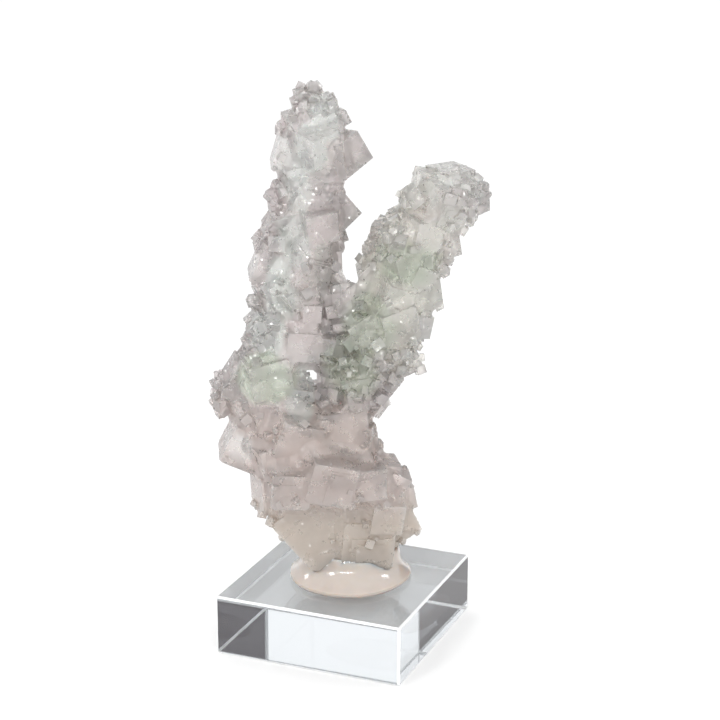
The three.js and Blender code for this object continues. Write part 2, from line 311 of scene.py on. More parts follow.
def scattered_points(mesh, per_mm2, rng):
    """Random points all over a mesh, each with the normal of its triangle."""
    mesh.calc_loop_triangles()
    for triangle in mesh.loop_triangles:
        corners = [mesh.vertices[i].co for i in triangle.vertices]
        for _ in range(random_count(triangle.area * per_mm2, rng)):
            a, b = rng.random(), rng.random()
            if a + b > 1:
                a, b = 1 - a, 1 - b
            point = corners[0] + (corners[1] - corners[0]) * a + (corners[2] - corners[0]) * b
            yield point, triangle.normal.copy()


def random_tilt(rng, size):
    return Vector((rng.uniform(-1, 1), rng.uniform(-1, 1), rng.uniform(-1, 1))) * size


def cube_axes(normal, rng, freedom):
    """Axes of a small crystal: its third axis near the normal, and a free turn about it."""
    up = (normal + random_tilt(rng, freedom)).normalized()
    side = up.orthogonal().normalized()
    side.rotate(Matrix.Rotation(rng.uniform(0, math.pi / 2), 3, up))
    return side, up.cross(side), up


def batches(crystals):
    """Sorts the crystals into sets in which no two touch."""
    sets = []
    for centre, axes, edge in crystals:
        reach = edge * CRYSTAL_REACH
        cell = tuple(int(math.floor(v / GRID_CELL)) for v in centre)
        around = [(cell[0] + x, cell[1] + y, cell[2] + z) for x, y, z in NEIGHBOURS]
        for members, grid in sets:
            near = (other for place in around for other in grid.get(place, ()))
            if all((centre - c).length > reach + r for c, r in near):
                break
        else:
            members, grid = [], {}
            sets.append((members, grid))
        members.append((centre, axes, edge))
        grid.setdefault(cell, []).append((centre, reach))
    return [members for members, grid in sets]


def cubes(crystals, seed):
    rng = random.Random(seed)
    boxes = []
    for centre, axes, edge in crystals:
        sides = (edge, edge * rng.uniform(*SECOND_SIDE), edge * rng.uniform(*THIRD_SIDE))
        boxes.append((centre, axes, sides))
    return boxes_mesh("cubes", boxes)


def with_crystals(mesh, crystals):
    for index, members in enumerate(batches(crystals)):
        mesh = boolean(mesh, cubes(members, index), "UNION")
    return mesh


# Small crystals. A zone is a centre in the spread's plane, its half sizes, how thickly it is set,
# and the smallest and largest edge there. A few more sit all over and along the inner seams.

DRUSE_ZONES = [
    ((-8, 142), (7, 5), 1.0, (1.4, 2.8)),
    ((-22, 86), (4, 10), 1.0, (1.2, 2.8)),
    ((-18, 118), (3, 5), 0.8, (1.4, 2.8)),
    ((-33, 65), (3, 9), 0.9, (1.2, 2.8)),
    ((-11, 92), (3, 6), 0.6, (1.4, 2.8)),
    ((-19, 59), (4, 3), 0.6, (1.0, 2.4)),
    ((31, 119), (8, 6), 0.7, (1.2, 2.8)),
    ((12, 108), (6, 5), 0.6, (1.2, 3.0)),
    ((25, 104), (3, 6), 0.8, (1.2, 2.4)),
    ((6, 74), (8, 9), 0.5, (1.2, 2.8)),
    ((17, 76), (3, 6), 0.8, (1.2, 2.4)),
    ((16, 28), (4, 3), 1.0, (1.2, 2.4)),
    ((-23, 35), (3, 2.5), 1.0, (1.0, 2.0)),
]
USUAL_EDGES = (1.0, 2.2)
# A zone thins out between these shares of its half sizes.
ZONE_CORE, ZONE_RIM = 0.6, 1.1
DRUSE_SEED = 5
DRUSE_PER_MM2 = 0.2
DRUSE_EVERYWHERE = 0.008
DRUSE_SIZE_BIAS = 1.7
DRUSE_LIFT = 0.12
DRUSE_FREEDOM = 0.55
DRUSE_NOTCH_ROOM = 1.0
SEAM_SPACING = 16.0
SEAM_ANGLE = math.radians(25)
SEAM_EDGE, SEAM_EDGE_RANGE, SEAM_SIZE_BIAS = 0.8, 1.7, 2
SEAM_LIFT = 0.1
SEAM_FREEDOM = 0.5
PUTTY_REACH = 26.5


def zone_at(x, z):
    """How thickly small crystals are set at a place, and their smallest and largest edge."""
    best, edges = 0.0, USUAL_EDGES
    for (cx, cz), (rx, rz), weight, sizes in DRUSE_ZONES:
        distance = math.hypot((x - cx) / rx, (z - cz) / rz)
        here = weight * max(0.0, min(1.0, (ZONE_RIM - distance) / (ZONE_RIM - ZONE_CORE)))
        if here > best:
            best, edges = here, sizes
    return best, edges


def zone_crystals(mesh, rng):
    crystals = []
    for point, normal in scattered_points(mesh, DRUSE_PER_MM2, rng):
        weight, (small, large) = zone_at(point.x, point.z)
        weight = max(weight, DRUSE_EVERYWHERE)
        if rng.random() > weight or in_notch(point, DRUSE_NOTCH_ROOM):
            continue
        edge = small + (large - small) * rng.random() ** DRUSE_SIZE_BIAS
        axes = cube_axes(normal, rng, DRUSE_FREEDOM)
        crystals.append((point + normal * edge * DRUSE_LIFT, axes, edge))
    return crystals


def seam_crystals(mesh, rng):
    crystals = []
    work = bmesh.new()
    work.from_mesh(mesh)
    for line in work.edges:
        if len(line.link_faces) != 2 or line.is_convex or line.calc_face_angle() < SEAM_ANGLE:
            continue
        for _ in range(random_count(line.calc_length() / SEAM_SPACING, rng)):
            point = line.verts[0].co.lerp(line.verts[1].co, rng.random())
            normal = (line.link_faces[0].normal + line.link_faces[1].normal).normalized()
            edge = SEAM_EDGE + SEAM_EDGE_RANGE * rng.random() ** SEAM_SIZE_BIAS
            axes = cube_axes(normal, rng, SEAM_FREEDOM)
            crystals.append((point + normal * edge * SEAM_LIFT, axes, edge))
    work.free()
    return crystals


def druse_crystals(mesh):
    rng = random.Random(DRUSE_SEED)
    crystals = zone_crystals(mesh, rng)
    crystals += seam_crystals(mesh, rng)
    return [crystal for crystal in crystals if crystal[0].z > PUTTY_REACH]


# Medium crystals that fill the hollows between the blocks. A hollow is a place in the open from
# which the growth is met within a short reach in more than a share of all directions.

HOLLOW_SEED = 3
HOLLOW_REACH = 8.0
HOLLOW_SHARE = 0.67
HOLLOW_PER_MM2 = 0.5
HOLLOW_EDGES = (2.6, 5.0)
HOLLOW_SIZE_BIAS = 1.5
HOLLOW_FROM = 60.0
HOLLOW_SPACING = 1.1
HOLLOW_LIFTS = (0.3, 2.6)
HOLLOW_TILT = 0.12
HOLLOW_DIRECTIONS = 40
HOLLOW_HOLD = 0.55
NOTCH_ROOM_PER_EDGE = 0.95
WINDOW_ROOM, WINDOW_ROOM_PER_EDGE = 1.4, 0.8
COPLANAR_ANGLE = math.radians(0.3)


def all_round(count):
    """Directions spread evenly over a sphere."""
    turn = math.pi * (3 - math.sqrt(5))
    directions = []
    for i in range(count):
        z = 1 - 2 * (i + 0.5) / count
        flat = math.sqrt(1 - z * z)
        directions.append(Vector((flat * math.cos(i * turn), flat * math.sin(i * turn), z)))
    return directions


def broad_faces(mesh):
    """A bmesh whose coplanar triangles are joined again into whole faces."""
    work = bmesh.new()
    work.from_mesh(mesh)
    bmesh.ops.dissolve_limit(work, angle_limit=COPLANAR_ANGLE, verts=work.verts, edges=work.edges)
    work.faces.ensure_lookup_table()
    return work


def face_axes(face):
    """Axes of a face: along its longest edge, across it, and its normal."""
    longest = max(face.edges, key=lambda e: e.calc_length())
    along = (longest.verts[1].co - longest.verts[0].co).normalized()
    return along, face.normal.cross(along), face.normal.copy()


def hollow_crystals(mesh):
    rng = random.Random(HOLLOW_SEED)
    work = broad_faces(mesh)
    tree = BVHTree.FromBMesh(work)
    directions = all_round(HOLLOW_DIRECTIONS)
    smallest, largest = HOLLOW_EDGES
    crystals = []
    for point, surface_normal in scattered_points(mesh, HOLLOW_PER_MM2, rng):
        point += surface_normal * rng.uniform(*HOLLOW_LIFTS)
        edge = smallest + (largest - smallest) * rng.random() ** HOLLOW_SIZE_BIAS
        tilt = random_tilt(rng, HOLLOW_TILT)
        if point.z < HOLLOW_FROM or in_notch(point, NOTCH_ROOM_PER_EDGE * edge):
            continue
        if in_window(point, WINDOW_ROOM + edge * WINDOW_ROOM_PER_EDGE):
            continue
        near, normal, index, distance = tree.find_nearest(point)
        if (point - near).dot(normal) < 0 or distance > edge * HOLLOW_HOLD:
            continue
        met = sum(tree.ray_cast(point, way, HOLLOW_REACH)[0] is not None for way in directions)
        if met < HOLLOW_SHARE * len(directions):
            continue
        pairs = (((point - other).length, (edge + size) / 2) for other, axes, size in crystals)
        if any(away < HOLLOW_SPACING * mean_edge for away, mean_edge in pairs):
            continue
        along, _, up = face_axes(work.faces[index])
        up = (up + tilt).normalized()
        along = (along - up * along.dot(up)).normalized()
        crystals.append((point, (along, up.cross(along), up), edge))
    work.free()
    return crystals


# Thin terraces of parallel growth on the broad faces, each with a smaller one on top of it. Its
# sides are shares of the face's, and the smaller one's are shares of its own.

STEP_SEED = 9
STEP_SMALLEST_FACE = 22.0
STEP_SHARE = 0.3
STEP_TRIES = 24
STEP_SIDES = (0.45, 0.9)
STEP_RISES = (0.12, 0.3)
STEP_INNER = (0.35, 0.75)
STEP_INNER_SHIFT = 0.45
STEP_THICKNESS, STEP_INNER_THICKNESS = 2, 3.6


def step_slabs(mesh):
    """Thin slabs that lie on the broad faces, along their longest edge, as boxes."""
    rng = random.Random(STEP_SEED)
    work = broad_faces(mesh)
    slabs = []
    for face in work.faces:
        if face.calc_area() < STEP_SMALLEST_FACE or rng.random() > STEP_SHARE:
            continue
        axes = face_axes(face)
        along, across = axes[:2]
        centre = face.calc_center_median()
        flat = [((v.co - centre).dot(along), (v.co - centre).dot(across)) for v in face.verts]
        low = (min(p[0] for p in flat), min(p[1] for p in flat))
        high = (max(p[0] for p in flat), max(p[1] for p in flat))
        for _ in range(STEP_TRIES):
            width = (high[0] - low[0]) * rng.uniform(*STEP_SIDES)
            height = (high[1] - low[1]) * rng.uniform(*STEP_SIDES)
            x = rng.uniform(low[0] + width / 2, high[0] - width / 2)
            y = rng.uniform(low[1] + height / 2, high[1] - height / 2)
            tips = [(x + i * width / 2, y + j * height / 2) for i in (-1, 1) for j in (-1, 1)]
            if not all(inside(tip, flat) for tip in tips):
                continue
            rise = rng.uniform(*STEP_RISES)
            place = centre + along * x + across * y
            slabs.append((place, axes, (width, height, rise * STEP_THICKNESS)))
            inner = rng.uniform(*STEP_INNER)
            x += width * (1 - inner) * rng.uniform(-STEP_INNER_SHIFT, STEP_INNER_SHIFT)
            y += height * (1 - inner) * rng.uniform(-STEP_INNER_SHIFT, STEP_INNER_SHIFT)
            place = centre + along * x + across * y
            sides = (width * inner, height * inner, rise * STEP_INNER_THICKNESS)
            slabs.append((place, axes, sides))
            break
    work.free()
    return slabs


def slab_batches(slabs):
    """Sorts the slabs into sets in which no two touch."""
    sets = []
    for slab in slabs:
        reach = Vector(slab[2]).length / 2
        for members in sets:
            gaps = ((slab[0] - other[0]).length - Vector(other[2]).length / 2 for other in members)
            if all(gap > reach for gap in gaps):
                members.append(slab)
                break
        else:
            sets.append([slab])
    return sets


def one_clean_body(mesh):
    """The largest connected part of a mesh, as plain triangles.

    Each vertex takes the lowest label of its triangles and then the label of that one, until
    every connected part has a single label.
    """
    mesh.calc_loop_triangles()
    points = np.empty(len(mesh.vertices) * 3)
    mesh.vertices.foreach_get("co", points)
    corners = np.empty(len(mesh.loop_triangles) * 3, dtype=np.int32)
    mesh.loop_triangles.foreach_get("vertices", corners)
    corners = corners.reshape(-1, 3)
    label = np.arange(len(mesh.vertices))
    while True:
        lowest = label[corners].min(axis=1)
        spread = label.copy()
        for column in range(3):
            np.minimum.at(spread, corners[:, column], lowest)
        spread = spread[spread]
        if np.array_equal(spread, label):
            break
        label = spread
    names, sizes = np.unique(label, return_counts=True)
    kept = corners[label[corners[:, 0]] == names[sizes.argmax()]]
    used, renumbered = np.unique(kept, return_inverse=True)
    vertices = points.reshape(-1, 3)[used]
    clean = mesh_from("clean_body", vertices.tolist(), renumbered.reshape(-1, 3).tolist())
    clean.validate()
    return clean


def dressed_growth():
    mesh = healed(whole_growth())
    hollows = hollow_crystals(mesh)
    for members in slab_batches(step_slabs(mesh)):
        mesh = boolean(mesh, boxes_mesh("steps", members), "UNION")
    mesh = with_crystals(mesh, hollows)
    mesh = with_crystals(mesh, druse_crystals(mesh))
    return one_clean_body(mesh)


growth_mesh = dressed_growth()
growth_mesh.transform(TO_WORLD)
growth_mesh.name = "crystal_growth"
growth = new_object("crystal_growth", growth_mesh)
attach(growth, "root")
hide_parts("crystal_trunk", "left_branch", "right_branch")


# Node helpers. Where a value may be another node's output, it is linked, and set otherwise.

def new_material(name):
    material = bpy.data.materials.new(name)
    material.use_nodes = True
    tree = material.node_tree
    shader = tree.nodes["Principled BSDF"]
    return material, tree, shader


def feed(tree, socket, value):
    if hasattr(value, "is_output"):
        tree.links.new(value, socket)
    else:
        socket.default_value = value


def settle(node, values):
    """Sets plain values on a node's own sockets."""
    for name, value in values.items():
        node.inputs[name].default_value = value


def operation_node(tree, kind, operation, values):
    node = tree.nodes.new(kind)
    node.operation = operation
    for socket, value in zip(node.inputs, values):
        feed(tree, socket, value)
    return node


def math_node(tree, operation, *values):
    return operation_node(tree, "ShaderNodeMath", operation, values).outputs["Value"]


def vector_node(tree, operation, *values, output="Vector"):
    return operation_node(tree, "ShaderNodeVectorMath", operation, values).outputs[output]


def scaled(tree, vector, factor):
    node = operation_node(tree, "ShaderNodeVectorMath", "SCALE", [vector])
    settle(node, {"Scale": factor})
    return node.outputs["Vector"]


def noise(tree, vector, scale, detail=3.0, roughness=0.5, output="Fac"):
    node = tree.nodes.new("ShaderNodeTexNoise")
    settle(node, {"Scale": scale, "Detail": detail, "Roughness": roughness})
    feed(tree, node.inputs["Vector"], vector)
    return node.outputs[output]


def cells(tree, vector, scale):
    """The random colour of each cell of a Voronoi pattern."""
    node = tree.nodes.new("ShaderNodeTexVoronoi")
    settle(node, {"Scale": scale})
    feed(tree, node.inputs["Vector"], vector)
    return node.outputs["Color"]


def xyz(tree, vector):
    node = tree.nodes.new("ShaderNodeSeparateXYZ")
    feed(tree, node.inputs["Vector"], vector)
    return [node.outputs[axis] for axis in ("X", "Y", "Z")]


def ramp(tree, value, low, high, to_low=0.0, to_high=1.0):
    node = tree.nodes.new("ShaderNodeMapRange")
    node.interpolation_type = "SMOOTHSTEP"
    settle(node, {"From Min": low, "From Max": high, "To Min": to_low, "To Max": to_high})
    feed(tree, node.inputs["Value"], value)
    return node.outputs["Result"]


def mix_colour(tree, factor, a, b, blend="MIX"):
    node = tree.nodes.new("ShaderNodeMix")
    node.data_type = "RGBA"
    node.blend_type = blend
    feed(tree, node.inputs[0], factor)
    sockets = [s for s in node.inputs if s.type == "RGBA"]
    for socket, value in zip(sockets, (a, b)):
        feed(tree, socket, value if hasattr(value, "is_output") else (*value, 1))
    return next(s for s in node.outputs if s.type == "RGBA")


def spread_position(tree):
    """Position in millimetres in the frame of the spread."""
    coordinate = tree.nodes.new("ShaderNodeTexCoord")
    turn = tree.nodes.new("ShaderNodeMapping")
    settle(turn, {"Rotation": (0, 0, -SPREAD_TURN), "Scale": (1 / MM, 1 / MM, 1 / MM)})
    feed(tree, turn.inputs["Vector"], coordinate.outputs["Object"])
    return turn.outputs["Vector"]


def off_centre(tree, colour):
    """A random colour as a vector around zero."""
    return vector_node(tree, "SUBTRACT", colour, (0.5, 0.5, 0.5))


BLOB_CORE, BLOB_EDGE = 0.75, 1.15


def blobs(tree, position, places):
    """One soft mask from several round patches, each a centre and its half sizes."""
    total = None
    for centre, sizes in places:
        away = vector_node(tree, "DIVIDE", vector_node(tree, "SUBTRACT", position, centre), sizes)
        length = vector_node(tree, "LENGTH", away, output="Value")
        patch = ramp(tree, length, BLOB_CORE, BLOB_EDGE, 1.0, 0.0)
        total = patch if total is None else math_node(tree, "MAXIMUM", total, patch)
    return total


def add_bump(tree, shader, height, strength, distance):
    bump = tree.nodes.new("ShaderNodeBump")
    settle(bump, {"Strength": strength, "Distance": distance})
    feed(tree, bump.inputs["Height"], height)
    feed(tree, shader.inputs["Normal"], bump.outputs["Normal"])


def add_absorption(tree, colour, density):
    absorb = tree.nodes.new("ShaderNodeVolumeAbsorption")
    settle(absorb, {"Color": (*colour, 1), "Density": density})
    feed(tree, tree.nodes["Material Output"].inputs["Volume"], absorb.outputs["Volume"])


# The crystals: frosted, see-through, in clouds of lilac, mint and green, over a foot tinted warm as a
# painted reflection of the putty, with painted shade and a painted glint

LILAC = (0.61, 0.56, 0.57)
PALE = (0.75, 0.72, 0.70)
PINK = (0.85, 0.77, 0.77)
SAGE = (0.91, 0.90, 0.845)
ROSE = (0.855, 0.76, 0.73)
# Painted reflection: the warm taupe of the foot stands in for the putty's warm light reflected onto it
PUTTY_REFLECTION_TAUPE = (0.61, 0.54, 0.475)
MINT = (0.91, 0.945, 0.92)
GREEN = (0.77, 0.845, 0.72)
# The colour multiplied in as painted shade
PAINTED_SHADE_COLOUR = (0.80, 0.80, 0.785)
# The near-white mixed into lighter patches, and into one painted highlight
LIGHTER_AND_GLINT_COLOUR = (0.95, 0.94, 0.93)

SAGE_PATCHES = [((18, 4, 98), (18, 26, 32))]
MINT_PATCHES = [
    ((-4, -5, 139), (6, 9, 7)),
    ((-8, -6, 131), (5, 9, 7)),
    ((-12, -6, 121), (4.5, 9, 8)),
    ((-13, -6, 108), (4.5, 9, 8)),
    ((-16, -7, 95), (4.5, 9, 9)),
    ((-19, -7, 84), (4.5, 9, 7)),
    ((-11, -6, 67), (4, 9, 8)),
    ((-9, 9, 130), (7, 8, 12)),
    ((-13, 9, 98), (7, 8, 12)),
    ((-15, 9, 72), (8, 8, 9)),
    ((26, 4, 118), (9, 14, 7)),
]
GREEN_PATCHES = [
    ((-20, -7, 73), (8, 10, 7)),
    ((7, -4, 86), (8, 14, 8)),
    ((2, -4, 76), (8, 14, 9)),
    ((16, -2, 103), (8, 12, 8)),
    ((14, 8, 92), (9, 9, 9)),
]
# Painted shade: darker patches around the fork, along the inner side of the left branch and on the
# lower right branch
PAINTED_SHADE_PATCHES = [
    ((5, -2, 78), (13, 18, 10)),
    ((16, 0, 102), (5, 18, 6)),
    ((1, -3, 127), (5, 9, 5)),
    ((0, -3, 114), (6, 9, 7)),
    ((-4, -5, 101), (6, 9, 8)),
    ((-4, -6, 87), (7, 9, 8)),
    ((1, -4, 60), (12, 12, 9)),
    ((11, -4, 85), (10, 10, 9)),
    ((-13, -2, 92), (5, 9, 7)),
]
# Lighter patches. The one at x 13, z 107.5 is a painted highlight: the glint on a cube's top face
LIGHTER_AND_GLINT_PATCHES = [
    ((-15.5, 0, 128), (3.5, 8, 5)),
    ((19.5, 1, 83.5), (3, 8, 4)),
    ((13, -4, 107.5), (2.4, 6, 2.6)),
    ((-1, -1, 97), (2.2, 7, 3)),
    ((-26, -2, 54), (5, 9, 5)),
]
PAINTED_SHADE_AMOUNT = 0.75
LIGHTER_AND_GLINT_AMOUNT = 0.8

# Heights between which one look gives way to another
ROSE_TOP = (58, 70)
PUTTY_REFLECTION_TOP = (33, 44)
CLOUDY_TOP = (30, 48)

# A noise is its scale and detail, with its roughness where that isn't the usual one. A range is
# the part of a pattern's values that counts.
CLOUD_SCALE, CLOUD_WANDER = 0.12, 5.0
CELL_SCALE = 0.13
PINK_RANGE = (0.55, 0.8)
PINK_UNDER_SAGE, PINK_OVER_SAGE = 0.6, 0.45
MOTTLE_NOISE, MOTTLE_RANGE, MOTTLE_SHADES = (0.5, 5.0, 0.6), (0.3, 0.75), (0.955, 1.03)
FROST_NOISE, FROST_RANGE, FROST_ROUGHNESS = (0.35, 4.0), (0.35, 0.7), (0.22, 0.42)
TRUNK_ROUGHER = 0.03
FACET_SCALE, FACET_TILT = 1.8, 0.9
GRAIN_NOISE, GRAIN_STRENGTH, GRAIN_HEIGHT = (3.0, 4.0), 0.05, 0.0002
CRYSTAL_TRANSMISSION = (0.35, 0.74)
COAT_WEIGHT, TRUNK_COAT_LOSS = 0.65, 0.37
CRYSTAL_ABSORPTION, CRYSTAL_DENSITY = (0.81, 0.79, 0.77), 120


def crystal_colour_with_painted_light(tree, position, warped, trunk, height):
    cell = tree.nodes.new("ShaderNodeSeparateColor")
    feed(tree, cell.inputs["Color"], cells(tree, warped, CELL_SCALE))
    colour = mix_colour(tree, cell.outputs["Red"], LILAC, PALE)
    pink = ramp(tree, cell.outputs["Green"], *PINK_RANGE)
    colour = mix_colour(tree, math_node(tree, "MULTIPLY", pink, PINK_UNDER_SAGE), colour, PINK)
    colour = mix_colour(tree, blobs(tree, warped, SAGE_PATCHES), colour, SAGE)
    colour = mix_colour(tree, math_node(tree, "MULTIPLY", pink, PINK_OVER_SAGE), colour, PINK)
    colour = mix_colour(tree, trunk, colour, ROSE)
    # Painted reflection: below these heights the foot turns warm taupe, for the putty's light
    # reflected onto it
    colour = mix_colour(tree, ramp(tree, height, *PUTTY_REFLECTION_TOP, 1.0, 0.0), colour, PUTTY_REFLECTION_TAUPE)
    colour = mix_colour(tree, blobs(tree, warped, MINT_PATCHES), colour, MINT)
    colour = mix_colour(tree, blobs(tree, warped, GREEN_PATCHES), colour, GREEN)
    # Painted shade: the colour is darkened in these patches
    painted_shade = math_node(tree, "MULTIPLY", blobs(tree, warped, PAINTED_SHADE_PATCHES), PAINTED_SHADE_AMOUNT)
    colour = mix_colour(tree, painted_shade, colour, PAINTED_SHADE_COLOUR, "MULTIPLY")
    # Lighter patches, and one painted highlight, a glint on a cube's top face
    lighter_and_glint = math_node(tree, "MULTIPLY", blobs(tree, position, LIGHTER_AND_GLINT_PATCHES), LIGHTER_AND_GLINT_AMOUNT)
    colour = mix_colour(tree, lighter_and_glint, colour, LIGHTER_AND_GLINT_COLOUR)
    mottle = ramp(tree, noise(tree, position, *MOTTLE_NOISE), *MOTTLE_RANGE, *MOTTLE_SHADES)
    return mix_colour(tree, 1.0, colour, mottle, "MULTIPLY")


def facet_normal(tree, position):
    """A normal that is tipped at random from cell to cell, for small glints in the coat."""
    tilt = scaled(tree, off_centre(tree, cells(tree, position, FACET_SCALE)), FACET_TILT)
    plain = tree.nodes.new("ShaderNodeNewGeometry").outputs["Normal"]
    return vector_node(tree, "NORMALIZE", vector_node(tree, "ADD", plain, tilt))


def crystal_material():
    material, tree, shader = new_material("frosted_crystal")
    position = spread_position(tree)
    wander = off_centre(tree, noise(tree, position, CLOUD_SCALE, output="Color"))
    warped = vector_node(tree, "ADD", position, scaled(tree, wander, CLOUD_WANDER))
    height = xyz(tree, warped)[2]
    trunk = ramp(tree, height, *ROSE_TOP, 1.0, 0.0)
    colour = crystal_colour_with_painted_light(tree, position, warped, trunk, height)
    feed(tree, shader.inputs["Base Color"], colour)
    frost = ramp(tree, noise(tree, position, *FROST_NOISE), *FROST_RANGE, *FROST_ROUGHNESS)
    rough = math_node(tree, "ADD", frost, math_node(tree, "MULTIPLY", trunk, TRUNK_ROUGHER))
    feed(tree, shader.inputs["Roughness"], rough)
    clear = ramp(tree, height, *CLOUDY_TOP, *CRYSTAL_TRANSMISSION)
    feed(tree, shader.inputs["Transmission Weight"], clear)
    coat_loss = math_node(tree, "MULTIPLY", trunk, TRUNK_COAT_LOSS)
    coat = math_node(tree, "SUBTRACT", COAT_WEIGHT, coat_loss)
    feed(tree, shader.inputs["Coat Weight"], coat)
    feed(tree, shader.inputs["Coat Normal"], facet_normal(tree, position))
    settle(shader, {
        "IOR": 1.535,
        "Coat Roughness": 0.1,
        "Coat IOR": 1.8,
        "Subsurface Weight": 0.8,
        "Subsurface Radius": (1.0, 0.95, 0.95),
        "Subsurface Scale": 0.007,
    })
    grain = noise(tree, position, *GRAIN_NOISE)
    add_bump(tree, shader, grain, GRAIN_STRENGTH, GRAIN_HEIGHT)
    add_absorption(tree, CRYSTAL_ABSORPTION, CRYSTAL_DENSITY)
    return material


growth.data.materials.clear()
growth.data.materials.append(crystal_material())


# The block: clear acrylic. Its narrow bevels are left as machined, so they are white and dull.

# A normal whose widest part is below these values belongs to a bevel.
BEVEL_NORMALS = (0.85, 0.95)
BEVEL_ROUGHNESS = 0.4
BEVEL_CLOUDINESS = 0.8
SMEAR_SCALE, SMEAR_RANGE, SMEAR_ROUGHNESS = 0.25, (0.55, 0.8), 0.03
BLOCK_TINT = (0.985, 0.995, 1.0)
BLOCK_ABSORPTION, BLOCK_DENSITY = (0.76, 0.83, 0.89), 7


def block_material():
    material, tree, shader = new_material("clear_acrylic")
    smears = noise(tree, spread_position(tree), SMEAR_SCALE)
    smears = ramp(tree, smears, *SMEAR_RANGE, 0.0, SMEAR_ROUGHNESS)
    normal = tree.nodes.new("ShaderNodeNewGeometry").outputs["True Normal"]
    sides = [math_node(tree, "ABSOLUTE", side) for side in xyz(tree, normal)]
    widest = math_node(tree, "MAXIMUM", math_node(tree, "MAXIMUM", sides[0], sides[1]), sides[2])
    bevel = ramp(tree, widest, *BEVEL_NORMALS, 1.0, 0.0)
    bevel_rough = math_node(tree, "MULTIPLY", bevel, BEVEL_ROUGHNESS)
    feed(tree, shader.inputs["Roughness"], math_node(tree, "MAXIMUM", smears, bevel_rough))
    cloudy = math_node(tree, "MULTIPLY", bevel, BEVEL_CLOUDINESS)
    clear = math_node(tree, "SUBTRACT", 1.0, cloudy)
    feed(tree, shader.inputs["Transmission Weight"], clear)
    settle(shader, {"Base Color": (*BLOCK_TINT, 1), "IOR": 1.49})
    add_absorption(tree, BLOCK_ABSORPTION, BLOCK_DENSITY)
    return material


stand = nodes["stand_block"]
stand.data.materials.clear()
stand.data.materials.append(block_material())


# The putty: a smooth glossy dollop with a thin raised lip, hollowed where the foot goes in

DARK_CREAM = (0.51, 0.45, 0.405)
LIGHT_CREAM = (0.55, 0.485, 0.435)
PUTTY_CENTRE = 1.2
# Height and the two half widths of each ring, from the lip up
PUTTY_RINGS = [
    (15.87, 14.7, 14.7),
    (16.2, 15.5, 15.5),
    (16.8, 15.9, 15.9),
    (17.4, 15.8, 15.8),
    (18.0, 15.2, 15.0),
    (18.8, 14.5, 14.0),
    (19.8, 13.8, 12.8),
    (21.0, 13.3, 11.6),
    (22.4, 13.0, 10.8),
    (23.6, 12.8, 10.3),
    (24.2, 12.4, 9.9),
]
PUTTY_SEGMENTS = 96
# Waves around each ring: how many, how high as a share of its radius, and where they begin
PUTTY_WAVES = [(3, 0.012, 0.7), (5, 0.008, 2.0)]
# Waves up and down in the rings above a height, at their full size a span higher
CLIMB_WAVES, CLIMB_SIZE, CLIMB_START = 2, 0.5, 0.4
CLIMB_FROM, CLIMB_SPAN = 19, 5
PUTTY_CLOUD_SCALE, PUTTY_CLOUD_RANGE = 0.2, (0.35, 0.7)
PUTTY_SWELL_NOISE, PUTTY_SWELL_STRENGTH, PUTTY_SWELL_HEIGHT = (0.28, 2.0), 0.2, 0.0008
PUTTY_SHARP_ANGLE = math.radians(35)
SOCKET_MIDDLE = 26
SOCKET_GROWTH = 1.006


def putty_material():
    material, tree, shader = new_material("cream_putty_gloss")
    position = spread_position(tree)
    cloud = ramp(tree, noise(tree, position, PUTTY_CLOUD_SCALE), *PUTTY_CLOUD_RANGE)
    colour = mix_colour(tree, cloud, DARK_CREAM, LIGHT_CREAM)
    feed(tree, shader.inputs["Base Color"], colour)
    settle(shader, {
        "Roughness": 0.16,
        "IOR": 1.5,
        "Subsurface Weight": 1.0,
        "Subsurface Radius": (1.0, 0.7, 0.5),
        "Subsurface Scale": 0.003,
        "Coat Weight": 1.0,
        "Coat Roughness": 0.03,
    })
    swell = noise(tree, position, *PUTTY_SWELL_NOISE)
    add_bump(tree, shader, swell, PUTTY_SWELL_STRENGTH, PUTTY_SWELL_HEIGHT)
    return material


def putty_body():
    vertices, faces = [], []
    for z, rx, ry in PUTTY_RINGS:
        for i in range(PUTTY_SEGMENTS):
            angle = 2 * math.pi * i / PUTTY_SEGMENTS
            wobble = 1
            for count, size, start in PUTTY_WAVES:
                wobble += size * math.sin(count * angle + start)
            above = max(0.0, z - CLIMB_FROM)
            climb = CLIMB_SIZE * math.sin(angle * CLIMB_WAVES + CLIMB_START) * above / CLIMB_SPAN
            x = PUTTY_CENTRE + rx * wobble * math.cos(angle)
            vertices.append((x, ry * wobble * math.sin(angle), z + climb))
    last = (len(PUTTY_RINGS) - 1) * PUTTY_SEGMENTS
    for row in range(0, last, PUTTY_SEGMENTS):
        for i in range(PUTTY_SEGMENTS):
            a = row + i
            b = row + (i + 1) % PUTTY_SEGMENTS
            faces.append((a, b, b + PUTTY_SEGMENTS, a + PUTTY_SEGMENTS))
    bottom = len(vertices)
    vertices.append((PUTTY_CENTRE, 0, PUTTY_RINGS[0][0]))
    top = len(vertices)
    vertices.append((PUTTY_CENTRE, 0, PUTTY_RINGS[-1][0]))
    for i in range(PUTTY_SEGMENTS):
        j = (i + 1) % PUTTY_SEGMENTS
        faces.append((j, i, bottom))
        faces.append((last + i, last + j, top))
    return outward(mesh_from("putty_solid", vertices, faces))


def foot_cutter():
    """The growth, a little larger, to cut its socket."""
    cutter = growth.data.copy()
    cutter.transform(TO_WORLD.inverted())
    middle = Vector((0, 0, SOCKET_MIDDLE))
    larger = Matrix.Scale(SOCKET_GROWTH, 4)
    cutter.transform(Matrix.Translation(middle) @ larger @ Matrix.Translation(-middle))
    return cutter


